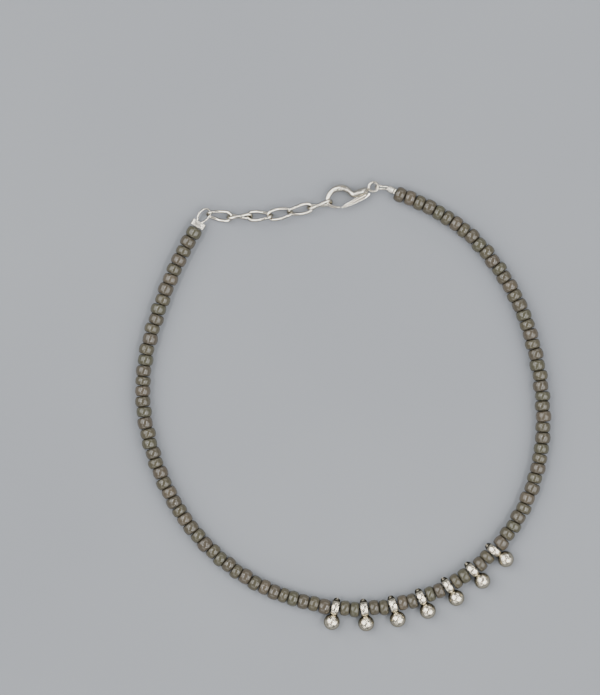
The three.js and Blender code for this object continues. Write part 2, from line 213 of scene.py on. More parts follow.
# %% The string's route
ROUTE = [
    [-28.4, 35.8],
    [-29.5, 33.9],
    [-33.1, 26.9],
    [-36.3, 18.5],
    [-38.7, 9.8],
    [-39.2, 0.8],
    [-37.6, -8.0],
    [-34.3, -16.4],
    [-29.5, -24.0],
    [-23.2, -30.4],
    [-15.6, -35.3],
    [-7.1, -38.3],
    [1.8, -39.6],
    [10.7, -38.7],
    [19.2, -35.8],
    [26.8, -30.8],
    [32.8, -24.2],
    [36.9, -16.2],
    [39.0, -7.4],
    [39.1, 1.6],
    [37.7, 10.5],
    [35.0, 19.1],
    [30.6, 27.0],
    [24.8, 33.8],
    [17.4, 38.9],
    [11.2, 41.7],
    [9.4, 42.6],
]
# The route starts in the middle of the chain's crimp, so that crimp's solid says where the route lies.
route_start = middle_mm("chain_crimp")
route = smooth_path([[x + route_start.x - ROUTE[0][0], y + route_start.y - ROUTE[0][1], 0] for x, y in ROUTE])
route_length = route[1][-1]
print("string length in mm:", round(route_length, 1))

# %% [markdown]
# ## Finishes
#
# Each finish is named for the real one. Its colours are sRGB hex values, which one function turns to the linear values
# that the shader wants, and one small function adds each node with its settings and links.

# %% Helpers for finishes
def linear(hex_colour):
    parts = [int(hex_colour[i : i + 2], 16) / 255 for i in (1, 3, 5)]
    return (*[p / 12.92 if p <= 0.04045 else ((p + 0.055) / 1.055) ** 2.4 for p in parts], 1.0)


def new_finish(name, **shader):
    """A material with its Principled shader set."""
    finish = bpy.data.materials.new(name)
    finish.use_nodes = True
    sockets = finish.node_tree.nodes["Principled BSDF"].inputs
    for socket, value in shader.items():
        sockets[socket.replace("_", " ")].default_value = value
    return finish, finish.node_tree.nodes["Principled BSDF"]


def node(finish, kind, links=(), inputs=(), **settings):
    """Adds a node, with links as {input: output socket} and inputs as {input: value}."""
    made = finish.node_tree.nodes.new("ShaderNode" + kind)
    for setting, value in settings.items():
        setattr(made, setting, value)
    for socket, value in dict(inputs).items():
        made.inputs[socket].default_value = value
    for socket, source in dict(links).items():
        finish.node_tree.links.new(source, made.inputs[socket])
    return made


def set_ramp(ramp, *stops):
    """Colours of a ramp, as (position, hex colour) or (position, grey value)."""
    band = ramp.color_ramp
    while len(band.elements) < len(stops):
        band.elements.new(0.5)
    for element, (position, colour) in zip(band.elements, stops):
        element.position = position
        element.color = linear(colour) if isinstance(colour, str) else (colour, colour, colour, 1)
    return ramp.outputs["Color"]


def connect(finish, source, target):
    finish.node_tree.links.new(source, target)


# Sockets of a Mix node that mixes colours. It has several with the same name, so they are told apart by number.
COLOUR_A, COLOUR_B, COLOUR_OUT = 6, 7, 2

# %% [markdown]
# ### Opaque bead glass
#
# The beads are drawn glass: opaque, warm grey rods cut short and tumbled in heat until their rims are round. The melt
# is never quite even, so beads side by side lean to green, pink or brown, and each has fine streaks along the draw.
# The surface is glossy, with the soft bloom that heat leaves. The dark joint between two beads is shadow, painted shade
# on each bead's rim, and a little tarnish from the wire.

# %% Opaque bead glass
STREAK = 0.25  # mm between the draw's streaks
RIPPLE = 0.02  # mm that a streak stands up at most
bead_glass, shader = new_finish("tumbled_bead_glass", Roughness=0.18, IOR=1.52)
tone = node(bead_glass, "Attribute", attribute_name="melt_tone")
rim = node(bead_glass, "Attribute", attribute_name="rim_shade")
melt = set_ramp(
    node(bead_glass, "ValToRGB", links={"Fac": tone.outputs["Fac"]}),
    (0.0, "#4E4C3D"),
    (0.25, "#524D3E"),
    (0.5, "#4D493B"),
    (0.75, "#514A3F"),
    (1.0, "#585043"),
)
place = node(bead_glass, "TexCoord")
streaks = node(
    bead_glass,
    "TexNoise",
    links={"Vector": place.outputs["Object"]},
    inputs={"Scale": 1 / (STREAK * MM), "Detail": 3.0, "Roughness": 0.6},
)
streak_shade = set_ramp(
    node(bead_glass, "ValToRGB", links={"Fac": streaks.outputs["Fac"]}), (0.3, 0.78), (0.7, 1.0)
)
streaked = node(
    bead_glass,
    "Mix",
    data_type="RGBA",
    blend_type="MULTIPLY",
    links={COLOUR_A: melt, COLOUR_B: streak_shade},
    inputs={"Factor": 1.0},
)
# The rim is mixed towards a dark brown: painted shade of the joint between beads, with a little tarnish.
rim_painted_shade = node(
    bead_glass,
    "Mix",
    data_type="RGBA",
    links={"Factor": rim.outputs["Fac"], COLOUR_A: streaked.outputs[COLOUR_OUT]},
    inputs={COLOUR_B: linear("#2A261C")},
)
connect(bead_glass, rim_painted_shade.outputs[COLOUR_OUT], shader.inputs["Base Color"])
ripple = node(
    bead_glass,
    "Bump",
    links={"Height": streaks.outputs["Fac"]},
    inputs={"Strength": 0.25, "Distance": RIPPLE * MM},
)
connect(bead_glass, ripple.outputs["Normal"], shader.inputs["Normal"])
print("finish:", bead_glass.name)

# %% [markdown]
# ### Silver
#
# The findings are silver, cast or drawn, tumbled to a soft shine. Polished crests stay bright and a little creamy, and
# the hollows hold a dark sulphide, the tarnish that polishing never reaches. The silvers below differ in how much of it
# is left: the drawn wire and the clasp are clean on their crests, the cast charms were darkened on purpose and rubbed
# bright, and the crimps keep the satin bruise of the pliers. Clean silver turns white at its very rim, where it is seen
# edge on. A film of tarnish takes that away, so the shader's tint for that angle is a grey.

# %% Silver
# The dark colour carries tarnish in the hollows and painted shade on upright flanks, charms' inner sides and the
# string.
SCRATCH = 0.12  # mm between the fine marks of tumbling
MARKS_SHARE = 0.35  # part that the marks have in where the tarnish ends
DARK_FADE = 0.4  # of the number of tarnish and painted shade, from bare silver to full dark


def silver_finish(name, bright, worn, dark, roughness, grain, dark_from, dent, rim="#A8A396"):
    """
    A silver that is bright or worn on its crests, dark with oxide in its hollows and dark with painted shade where that
    is laid on. Grain is the width and dent the depth of its waves in millimetres, dark_from the number of oxide and
    painted shade at which the dark begins, and rim the tint seen edge on.
    """
    finish, shader = new_finish(name, Metallic=1.0, Roughness=roughness, Specular_Tint=linear(rim))
    hollow = node(finish, "Attribute", attribute_name="hollow")
    place = node(finish, "TexCoord")
    waves = node(
        finish,
        "TexNoise",
        links={"Vector": place.outputs["Object"]},
        inputs={"Scale": 1 / (grain * MM), "Detail": 2.0, "Roughness": 0.5},
    )
    marks = node(
        finish,
        "TexNoise",
        links={"Vector": place.outputs["Object"]},
        inputs={"Scale": 1 / (SCRATCH * MM), "Detail": 4.0, "Roughness": 0.7},
    )
    rubbed = node(
        finish,
        "Mix",
        data_type="RGBA",
        links={"Factor": waves.outputs["Fac"]},
        inputs={COLOUR_A: linear(bright), COLOUR_B: linear(worn)},
    )
    uneven = node(
        finish,
        "Math",
        operation="MULTIPLY_ADD",
        links={0: marks.outputs["Fac"], 2: hollow.outputs["Fac"]},
        inputs={1: MARKS_SHARE},
    )
    dark_share = set_ramp(
        node(finish, "ValToRGB", links={"Fac": uneven.outputs["Value"]}),
        (dark_from, 0.0),
        (dark_from + DARK_FADE, 1.0),
    )
    skin = node(
        finish,
        "Mix",
        data_type="RGBA",
        links={"Factor": dark_share, COLOUR_A: rubbed.outputs[COLOUR_OUT]},
        inputs={COLOUR_B: linear(dark)},
    )
    connect(finish, skin.outputs[COLOUR_OUT], shader.inputs["Base Color"])
    gloss = node(
        finish,
        "MapRange",
        links={"Value": marks.outputs["Fac"]},
        inputs={"From Min": 0.3, "From Max": 0.7, "To Min": roughness * 0.75, "To Max": roughness * 1.35},
    )
    connect(finish, gloss.outputs["Result"], shader.inputs["Roughness"])
    relief = node(
        finish,
        "Bump",
        links={"Height": waves.outputs["Fac"]},
        inputs={"Strength": 1.0, "Distance": dent * MM},
    )
    connect(finish, relief.outputs["Normal"], shader.inputs["Normal"])
    return finish


bright_silver = silver_finish(
    "tumbled_silver", "#F0EADC", "#D6CFBF", "#3B372D", roughness=0.2, grain=0.6, dark_from=0.3, dent=0.012
)
cast_silver = silver_finish(
    "darkened_cast_silver",
    "#EFE7D3",
    "#C8BFA9",
    "#37342B",
    roughness=0.22,
    grain=0.3,
    dark_from=0.3,
    dent=0.06,
    rim="#8C8776",
)
wire_silver = silver_finish(
    "drawn_silver_wire", "#EEE8DA", "#D0C9B9", "#403C32", roughness=0.18, grain=0.4, dark_from=0.3, dent=0.008
)
bruised_silver = silver_finish(
    "squeezed_satin_silver", "#F4F0E4", "#DFD9CA", "#47433A", roughness=0.33, grain=0.4, dark_from=0.35, dent=0.05
)
print("finishes:", bright_silver.name, cast_silver.name, wire_silver.name, bruised_silver.name)


# %% [markdown]
# ### Where the tarnish gathers, and painted shade on the flanks
#
# Tarnish is left wherever a cloth can't reach. A point's own neighbours tell that: where they stand higher than the
# point, the surface is sunk there. The upright flanks of every piece are also made darker, as painted shade. The
# helper keeps both as one number on each point, which the silver reads.

# %% Where the tarnish gathers, and painted shade on the flanks
def mark_tarnish_and_shade(thing, gain=6.0, spread=4, sides=0.55):
    """A number from 0 to 1 on each point: oxide where the surface is sunk, and painted shade where it faces sideways.
    """
    mesh = thing.data
    count = len(mesh.vertices)
    places = np.empty(count * 3)
    mesh.vertices.foreach_get("co", places)
    places = places.reshape(-1, 3)
    normals = np.array([v.normal for v in mesh.vertices])
    edges = np.array([e.vertices[:] for e in mesh.edges])
    neighbours = np.zeros(count)
    for side in (0, 1):
        np.add.at(neighbours, edges[:, side], 1)

    def average(values):
        total = np.zeros_like(values)
        for a, b in ((0, 1), (1, 0)):
            np.add.at(total, edges[:, a], values[edges[:, b]])
        return total / (neighbours[:, None] if values.ndim > 1 else neighbours)

    reach = np.linalg.norm(places[edges[:, 0]] - places[edges[:, 1]], axis=1).mean()
    hollow = np.einsum("ij,ij->i", average(places) - places, normals) / reach
    for _ in range(spread):
        hollow = 0.5 * hollow + 0.5 * average(hollow)
    # The second term is painted shade: the more a point faces sideways, the darker it is drawn.
    hollow = np.clip(np.clip(hollow * gain, 0, 1) + sides * (1 - np.abs(normals[:, 2])), 0, 1)
    mesh.attributes.new("hollow", "FLOAT", "POINT").data.foreach_set("value", hollow)
    return hollow


# %% [markdown]
# ## Beads
#
# A seed bead is a short piece of glass tube, tumbled in heat until it is round like a small barrel. It is modelled the
# same way: a round bar is pierced by bridging its two ends, its side is cut into rings, each ring is drawn in a little
# more towards the ends, and the rims are bevelled. One bead is made, and the others are copies, each with its own small
# differences in length, width, lean and tone, as real ones have.

# %% One bead
BEAD_D = 3.1
BEAD_SEAM_D = 2.3  # where two beads touch
BEAD_LENGTH = 2.068
BEAD_HOLE = 1.0
BEAD_SIDES = 26
BEAD_CUTS = 7  # across the side
RIM_ROUND = 0.16  # mm


def barrel(share):
    """Width at a share of the way from the bead's middle to its end, as a share of the full width."""
    return 1 - (1 - BEAD_SEAM_D / BEAD_D) * (0.65 * share**2 + 0.35 * share**6)


bpy.ops.object.select_all(action="DESELECT")
bpy.ops.mesh.primitive_cylinder_add(
    vertices=BEAD_SIDES, radius=BEAD_D / 2 * MM, depth=BEAD_LENGTH * MM, rotation=(0, math.pi / 2, 0)
)
bead = set_down(bpy.context.object)
bpy.ops.object.mode_set(mode="EDIT")
pick("FACE", lambda at, facing: abs(facing.x) > 0.9)
bpy.ops.mesh.inset(thickness=(BEAD_D - BEAD_HOLE) / 2 * MM, use_individual=True)
bpy.ops.mesh.bridge_edge_loops()
pick("EDGE", lambda at, facing: abs(at.x) < 0.01 and at.yz.length > BEAD_HOLE)
bpy.ops.mesh.subdivide(number_cuts=BEAD_CUTS)
for ring in range(1, BEAD_CUTS // 2 + 2):
    share = 2 * ring / (BEAD_CUTS + 1)
    ring_x = share * BEAD_LENGTH / 2
    pick("VERT", lambda at, facing: abs(abs(at.x) - ring_x) < 0.01 and at.yz.length > BEAD_HOLE)
    bpy.ops.transform.resize(value=(1, barrel(share), barrel(share)))
pick("EDGE", lambda at, facing: abs(at.x) > BEAD_LENGTH * 0.49 and at.yz.length > BEAD_SEAM_D * 0.45)
bpy.ops.mesh.bevel(offset=RIM_ROUND * MM, segments=2, affect="EDGES")
bpy.ops.object.mode_set(mode="OBJECT")
outward(bead)
bpy.ops.object.shade_smooth()
print("bead:", len(bead.data.polygons), "faces,", [round(v / MM, 3) for v in bead.dimensions], "mm")

# %% [markdown]
# The joint between two beads looks dark. Part of that is shadow, and each bead's rim is also painted darker, as painted
# shade of the joint with a little tarnish. A number on each point, rising over the rim, tells the glass where that is.

# %% Shade of the rim
RIM_SHADE_WIDTH = 0.3  # mm

ends = np.array([abs(point.co.x) / MM for point in bead.data.vertices])
rim_shade = np.clip((ends - BEAD_LENGTH / 2 + RIM_SHADE_WIDTH) / RIM_SHADE_WIDTH, 0, 1) ** 1.5
bead.data.attributes.new("rim_shade", "FLOAT", "POINT").data.foreach_set("value", rim_shade)
bead.data.attributes.new("melt_tone", "FLOAT", "POINT")
bead.data.materials.append(bead_glass)
print("points on the rims:", int((rim_shade > 0.5).sum()))

# %% [markdown]
# The stringing follows the real order: 46 beads, then seven charms with two shorter beads between each pair, then
# beads up to the clasp's crimp. Each stretch is shared out so that it ends exactly where the next one starts.

# %% Threading the beads
BEADS_BEFORE_CHARMS = 46
BEADS_BETWEEN_CHARMS = 2
CHARM_BEAD_LENGTH = 1.88
UNEVENNESS = 0.12  # share by which a bead is longer or shorter
CHARM_LEANS = [-6, 5, 7, 7, 6, 5, 7]  # degrees towards the clasp
BAIL_WIDTH = 1.5
BAIL_SLOT = BAIL_WIDTH + 0.46
CHAIN_CRIMP_LENGTH = 1.25
CLASP_CRIMP_LENGTH = 1.15
WIRE_D = 0.36
CHAIN_CRIMP_TO_BEAD = 0.15
CLASP_CRIMP_TO_BEAD = WIRE_D + 0.1


def unevenness(number):
    return 0.6 * math.sin(2.4 * number) + 0.4 * math.sin(5.3 * number + 1)


bead_places = []  # (distance of the bead's middle, its length)
charm_places = []  # (distance, lean in degrees)


def thread_beads(at, count, length):
    """Threads that many beads from a distance on, and gives the distance where the last one ends."""
    first = len(bead_places)
    shares = [1 + UNEVENNESS * unevenness(first + k) for k in range(count)]
    for share in shares:
        own_length = length * share * count / sum(shares)
        bead_places.append((at + own_length / 2, own_length))
        at += own_length
    return at


at = thread_beads(CHAIN_CRIMP_LENGTH / 2 + CHAIN_CRIMP_TO_BEAD, BEADS_BEFORE_CHARMS, BEAD_LENGTH)
for number, lean in enumerate(CHARM_LEANS, 1):
    charm_places.append((at + BAIL_SLOT / 2, lean))
    at += BAIL_SLOT
    if number < len(CHARM_LEANS):
        at = thread_beads(at, BEADS_BETWEEN_CHARMS, CHARM_BEAD_LENGTH)
last_bead_end = route_length - CLASP_CRIMP_LENGTH / 2 - CLASP_CRIMP_TO_BEAD
beads_after_charms = round((last_bead_end - at) / BEAD_LENGTH)
thread_beads(at, beads_after_charms, (last_bead_end - at) / beads_after_charms)
print("beads:", len(bead_places), "charms:", len(charm_places))

# %% [markdown]
# Each copy keeps a hair of room to its neighbours, leans by a few degrees and stands up to 0.12 mm out of line,
# which is what makes a string look threaded and not extruded. The golden ratio spreads the melt tones, so that no two
# neighbours match and no pattern repeats.

# %% Copies of the bead
BEAD_ROOM = 0.04  # mm
OUT_OF_LINE = 0.12  # mm
BEAD_LEAN = 4.5  # degrees
BEAD_TURN = 47  # degrees about the wire from one bead to the next
NARROWEST = 0.025  # share by which the thinnest bead is thinner than the widest
TONE_WANDER = 0.13
GOLDEN = 0.618034

beads = []
for number, (distance, own_length) in enumerate(bead_places):
    spot, heading = on_path(route, distance)
    width = 1 - NARROWEST * (0.5 + 0.5 * math.sin(3.7 * number))
    sideways = OUT_OF_LINE * math.sin(2.9 * number + 0.7)
    spot += Vector((-math.sin(heading), math.cos(heading), 0)) * sideways
    lean = math.radians(BEAD_LEAN * math.sin(4.1 * number))
    copy = copy_of(
        bead,
        f"bead_{number}",
        (spot.x, spot.y, BEAD_D / 2 * width),
        (math.radians(BEAD_TURN * number), 0, heading + lean),
        ((own_length - BEAD_ROOM) / BEAD_LENGTH, width, width),
    )
    tones = np.full(len(copy.data.vertices), (number * GOLDEN + TONE_WANDER * unevenness(number * 3)) % 1)
    copy.data.attributes["melt_tone"].data.foreach_set("value", tones)
    beads.append(copy)
bpy.data.objects.remove(bead)
print("bead copies:", len(beads))


# %% [markdown]
# ## Wires
#
# All the wire on the anklet is one kind, drawn round and cut to length. A wire is made as a curve with a round bevel
# through its route, and then turned into a mesh, so that it can be joined and kept like any other piece.

# %% Bending a wire
def bend_wire(name, points, diameter, sides=12):
    """A round wire of that diameter, in millimetres, through the points."""
    run = bpy.data.curves.new(name, "CURVE")
    run.dimensions = "3D"
    run.bevel_depth = diameter / 2 * MM
    run.bevel_resolution = (sides - 4) // 2
    run.use_fill_caps = True
    spline = run.splines.new("POLY")
    spline.points.add(len(points) - 1)
    for knot, spot in zip(spline.points, points):
        knot.co = (*(Vector(spot) * MM), 1)
    wire = bpy.data.objects.new(name, run)
    bpy.context.collection.objects.link(wire)
    only(wire)
    bpy.ops.object.convert(target="MESH")
    outward(wire)
    bpy.ops.object.shade_smooth_by_angle(angle=math.radians(50))
    # A wire is not sunk anywhere, so its number is only the painted shade on its flanks.
    mark_tarnish_and_shade(wire, gain=0.0)
    return wire


# %% The stringing wire, and the whole string
WIRE_STEP = 1.0  # mm
INTO_CRIMP = 0.2  # mm of wire held inside each crimp
wire_start = CHAIN_CRIMP_LENGTH / 2 - INTO_CRIMP
wire_stop = route_length - CLASP_CRIMP_LENGTH / 2 + INTO_CRIMP
wire_distances = np.linspace(wire_start, wire_stop, round((wire_stop - wire_start) / WIRE_STEP))
wire_route = [on_path(route, distance)[0] + Vector((0, 0, BEAD_D / 2)) for distance in wire_distances]
string_wire = bend_wire("stringing_wire", wire_route, WIRE_D, sides=8)
string_wire.data.materials.append(wire_silver)
# The whole stringing wire is drawn dark, as painted shade of the narrow gaps between beads and charms where it shows.
painted_gap_shade = np.ones(len(string_wire.data.vertices))
string_wire.data.attributes["hollow"].data.foreach_set("value", painted_gap_shade)
string = joined("beads_on_their_wire", string_wire, *beads)
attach(string, "anklet")
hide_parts("bead_string")
print("string:", len(string.data.polygons), "faces")

# %% [markdown]
# ## Charms
#
# Each charm is one small casting: a crowned band that slides on the wire, a collar, a ball, and a heel with the stub of
# the casting's sprue on the inner side. In wax these are separate parts that melt together, so here they are modelled
# one by one and then fused with a voxel remesh, which leaves the soft fillets of a casting.

# %% The band
BAIL_HEIGHT = 3.0
BAIL_REACH = 1.62
BAIL_HOLE_D = 1.3
BAIL_CROWN = 0.2  # mm that its middle stands above its edges
BAIL_CUTS = 6
BAIL_EDGE = 0.1  # mm that its rims are rounded

bpy.ops.object.select_all(action="DESELECT")
bpy.ops.mesh.primitive_cylinder_add(
    vertices=36, radius=BAIL_HEIGHT / 2 * MM, depth=BAIL_WIDTH * MM, rotation=(0, math.pi / 2, 0)
)
band = set_down(bpy.context.object)
bpy.ops.object.mode_set(mode="EDIT")
pick("FACE", lambda at, facing: abs(facing.x) > 0.9)
bpy.ops.mesh.inset(thickness=(BAIL_HEIGHT - BAIL_HOLE_D) / 2 * MM, use_individual=True)
bpy.ops.mesh.bridge_edge_loops()
pick("EDGE", lambda at, facing: abs(at.x) < 0.01 and at.yz.length > BAIL_HOLE_D)
bpy.ops.mesh.subdivide(number_cuts=BAIL_CUTS)
for ring in range(1, BAIL_CUTS + 2, 2):
    share = ring / (BAIL_CUTS + 1)
    pick("VERT", lambda at, facing: abs(abs(at.x) - share * BAIL_WIDTH / 2) < 0.01 and at.yz.length > BAIL_HOLE_D)
    crown = 1 - 2 * BAIL_CROWN * share**2 / BAIL_HEIGHT
    bpy.ops.transform.resize(value=(1, crown, crown))
pick("EDGE", lambda at, facing: abs(at.x) > BAIL_WIDTH * 0.49 and at.yz.length > BAIL_HEIGHT * 0.4)
bpy.ops.mesh.bevel(offset=BAIL_EDGE * MM, segments=2, affect="EDGES")
bpy.ops.mesh.select_all(action="SELECT")
bpy.ops.transform.resize(value=(1, 2 * BAIL_REACH / BAIL_HEIGHT, 1))
bpy.ops.object.mode_set(mode="OBJECT")
print("band:", [round(v / MM, 2) for v in band.dimensions], "mm")

# %% [markdown]
# The ball is solid. The collar is a ring of wire round the neck between band and ball. On the inner side the band ends
# in a rounded heel, and the stub on it is what was left when the casting was cut from its sprue.

# %% Ball, collar, heel and stub
BALL_D = 3.15
BALL_OUT = 2.86
BALL_UP = 0.025  # above the wire's height, so that the ball rests on the floor
COLLAR_OUT = 1.5
COLLAR_D = 1.25
COLLAR_WIRE = 0.34
NECK_D = 0.84
NECK_LENGTH = 1.2
HEEL_WIDTH = 1.3
HEEL_HEIGHT = 1.1
HEEL_OUT = 1.42
HEEL_REACH = 2.02
STUB_D = 0.34

bpy.ops.mesh.primitive_uv_sphere_add(
    segments=32, ring_count=20, radius=BALL_D / 2 * MM, location=(0, BALL_OUT * MM, BALL_UP * MM)
)
ball = bpy.context.object
bpy.ops.mesh.primitive_torus_add(
    major_segments=28,
    minor_segments=10,
    major_radius=(COLLAR_D - COLLAR_WIRE) / 2 * MM,
    minor_radius=COLLAR_WIRE / 2 * MM,
    location=(0, COLLAR_OUT * MM, 0),
    rotation=(math.pi / 2, 0, 0),
)
collar = bpy.context.object
bpy.ops.mesh.primitive_cylinder_add(
    vertices=20,
    radius=NECK_D / 2 * MM,
    depth=NECK_LENGTH * MM,
    location=(0, COLLAR_OUT * MM, 0),
    rotation=(math.pi / 2, 0, 0),
)
neck = bpy.context.object
bpy.ops.mesh.primitive_uv_sphere_add(segments=24, ring_count=16, radius=MM, location=(0, -HEEL_OUT * MM, 0))
heel = bpy.context.object
heel.scale = (HEEL_WIDTH / 2, HEEL_REACH - HEEL_OUT, HEEL_HEIGHT / 2)
bpy.ops.mesh.primitive_uv_sphere_add(
    segments=16, ring_count=10, radius=STUB_D / 2 * MM, location=(0, (STUB_D / 3 - HEEL_REACH) * MM, STUB_D / 2 * MM)
)
stub = bpy.context.object
parts = [set_down(part) for part in (ball, collar, neck, heel, stub)]
print("charm parts:", 1 + len(parts))

# %% Casting the charm in one
CHARM_VOXEL = 0.075  # mm
INNER_FROM = 1.25  # mm from the wire, past which the band's inner side is darker
INNER_FADE = 0.25  # mm
INNER_PAINTED_SHADE = 0.4

charm = joined("charm", *parts, band)
finish_with(charm, "REMESH", mode="VOXEL", voxel_size=CHARM_VOXEL * MM)
finish_with(charm, "SMOOTH", factor=0.5, iterations=3)
bpy.ops.object.shade_smooth()
# Oxide in the casting's sunk places, and painted shade on its flanks.
charm_tarnish_and_shade = mark_tarnish_and_shade(charm, gain=9.0, sides=0.43)
inwards = np.array([-point.co.y / MM for point in charm.data.vertices])
# The band's inner side, where it curves down, is drawn darker still, as painted shade.
inner_painted_shade = np.clip((inwards - INNER_FROM) / INNER_FADE, 0, 1) * (inwards < HEEL_REACH - STUB_D / 3)
charm_tarnish_and_shade = np.clip(charm_tarnish_and_shade + INNER_PAINTED_SHADE * inner_painted_shade, 0, 1)
charm.data.attributes["hollow"].data.foreach_set("value", charm_tarnish_and_shade)
charm.data.materials.append(cast_silver)
print("charm:", len(charm.data.polygons), "faces, hollow on", round(float((charm_tarnish_and_shade > 0.5).mean()), 3))

# %% Seven charms
for number, (distance, lean) in enumerate(charm_places, 1):
    spot, heading = on_path(route, distance)
    turn = (0, 0, heading + math.pi + math.radians(lean))
    copy = copy_of(charm, f"cast_charm_{number}", (spot.x, spot.y, BEAD_D / 2), turn)
    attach(copy, "anklet")
    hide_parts(f"charm_{number}")
bpy.data.objects.remove(charm)
print("charms placed:", number)

# %% [markdown]
# ## Crimps
#
# A crimp is a short soft tube, squeezed flat on the wire with pliers. It starts as a round bar, is widened and
# flattened to the squeezed size, and gets the dent of the pliers' jaw by an inset that is pushed in. A slightly
# rounded edge comes from a bevel.

# %% Squeezing a crimp
JAW_DENT = 0.1  # mm
CRIMP_EDGE = 0.14  # mm that its rims are rounded
CHAIN_CRIMP_WIDTH = 2.85
CHAIN_CRIMP_THICKNESS = 0.95
CLASP_CRIMP_WIDTH = 1.3
CLASP_CRIMP_THICKNESS = 1.1


def squeeze_crimp(name, node_name, length, width, thickness, heading):
    spot = middle_mm(node_name)
    bpy.ops.object.select_all(action="DESELECT")
    bpy.ops.mesh.primitive_cylinder_add(
        vertices=32, radius=0.5 * thickness * MM, depth=length * MM, rotation=(0, math.pi / 2, 0)
    )
    crimp = set_down(bpy.context.object)
    crimp.name = name
    bpy.ops.object.mode_set(mode="EDIT")
    for side in (1, -1):
        pick("VERT", lambda at, facing: at.y * side > 0.001)
        bpy.ops.transform.translate(value=(0, side * (width - thickness) / 2 * MM, 0))
    pick("EDGE", lambda at, facing: abs(at.x) > length * 0.49 and abs(facing.x) < 0.9)
    bpy.ops.mesh.bevel(offset=CRIMP_EDGE * MM, segments=3, affect="EDGES")
    bpy.ops.object.mode_set(mode="OBJECT")
    for side in (1, -1):
        bpy.ops.object.mode_set(mode="EDIT")
        pick("FACE", lambda at, facing: facing.z * side > 0.995 and abs(at.x) < length * 0.3)
        bpy.ops.mesh.inset(thickness=length * 0.2 * MM)
        bpy.ops.transform.translate(value=(0, 0, -side * JAW_DENT * MM))
        bpy.ops.object.mode_set(mode="OBJECT")
    crimp.location = spot * MM
    crimp.rotation_euler = (0, 0, heading)
    set_down(crimp)
    outward(crimp)
    soften(crimp, 1)
    bpy.ops.object.shade_smooth_by_angle(angle=math.radians(40))
    # Oxide in the jaw's dent, and painted shade on the crimp's flanks.
    mark_tarnish_and_shade(crimp)
    crimp.data.materials.append(bruised_silver)
    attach(crimp, "anklet")
    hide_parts(node_name)


chain_end, chain_end_heading = on_path(route, 0.0)
clasp_end, clasp_end_heading = on_path(route, route_length)
chain_end_heading += math.pi
squeeze_crimp(
    "flattened_crimp",
    "chain_crimp",
    CHAIN_CRIMP_LENGTH,
    CHAIN_CRIMP_WIDTH,
    CHAIN_CRIMP_THICKNESS,
    chain_end_heading,
)
squeeze_crimp(
    "round_crimp", "clasp_crimp", CLASP_CRIMP_LENGTH, CLASP_CRIMP_WIDTH, CLASP_CRIMP_THICKNESS, clasp_end_heading
)
print("crimps squeezed at", chain_end.xy[:], clasp_end.xy[:])

# %% [markdown]
# ## Wire loops
#
# At each end the stringing wire turns back through its crimp and so leaves a loop. The chain's loop lies flat. The
# clasp's loop stands at a slant, because it has to pass through the clasp's ring. Both follow short tables: forward is
# a share of the loop's reach, and side a share of its width. Each loop starts and ends a little inside its crimp.
# Beside the clasp's crimp the wire's cut end comes out and crosses over the string.

# %% Wire loops
STRING_Z = BEAD_D / 2
CLEARANCE = 0.05
LOOP_GAP = 0.17
CHAIN_LOOP = [
    {"forward": 0.0, "side": 0.3},
    {"forward": 0.2, "side": 0.43},
    {"forward": 0.56, "side": 0.42},
    {"forward": 0.86, "side": 0.26},
    {"forward": 1.0, "side": -0.03},
    {"forward": 0.95, "side": -0.31},
    {"forward": 0.77, "side": -0.51},
    {"forward": 0.48, "side": -0.53},
    {"forward": 0.2, "side": -0.38},
    {"forward": 0.0, "side": -0.27},
]
CLASP_LOOP = [
    {"forward": 0.0, "side": 0.4},
    {"forward": 0.35, "side": 0.5},
    {"forward": 0.8, "side": 0.48},
    {"forward": 0.96, "side": 0.28},
    {"forward": 1.0, "side": 0.0},
    {"forward": 0.96, "side": -0.28},
    {"forward": 0.8, "side": -0.48},
    {"forward": 0.35, "side": -0.5},
    {"forward": 0.0, "side": -0.4},
]
CHAIN_LOOP_REACH = 2.75
CHAIN_LOOP_WIDTH = 2.0
CHAIN_Z = 1.3
CLASP_LOOP_REACH = 2.35
CLASP_LOOP_SPREAD = 1.3
CLASP_LOOP_HEADING = math.radians(175)
CLASP_LOOP_ROLL = math.radians(64)
HELD_APART = 0.25  # mm from the crimp's axis to each of the two wires that it holds
RING_D = 2.3
RING_WIRE_D = 0.5


def at_end(end, heading, x, y, z):
    """A place given from one end of the string, x pointing out of it."""
    across = Vector((-math.sin(heading), math.cos(heading), 0))
    return end + Vector((math.cos(heading), math.sin(heading), 0)) * x + across * y + Vector((0, 0, STRING_Z + z))


def wire_loop(name, node_name, points):
    fine, _ = smooth_path(points, steps=8)
    wire = bend_wire(name, fine, WIRE_D)
    wire.data.materials.append(wire_silver)
    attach(wire, "anklet")
    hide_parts(node_name)


chain_loop_start = CHAIN_CRIMP_LENGTH / 2 + LOOP_GAP
chain_loop = [
    at_end(
        chain_end,
        chain_end_heading,
        chain_loop_start + row["forward"] * CHAIN_LOOP_REACH,
        row["side"] * CHAIN_LOOP_WIDTH,
        row["forward"] * (CHAIN_Z - STRING_Z),
    )
    for row in CHAIN_LOOP
]
start, end = (
    at_end(chain_end, chain_end_heading, CHAIN_CRIMP_LENGTH / 2 - INTO_CRIMP, row["side"] * CHAIN_LOOP_WIDTH, 0)
    for row in (CHAIN_LOOP[0], CHAIN_LOOP[-1])
)
wire_loop("loop_to_the_chain", "chain_wire_loop", [start, *chain_loop, end])

inside_ring = (RING_WIRE_D + WIRE_D) / 2 + CLEARANCE
clasp_loop_start = CLASP_CRIMP_LENGTH / 2 + LOOP_GAP


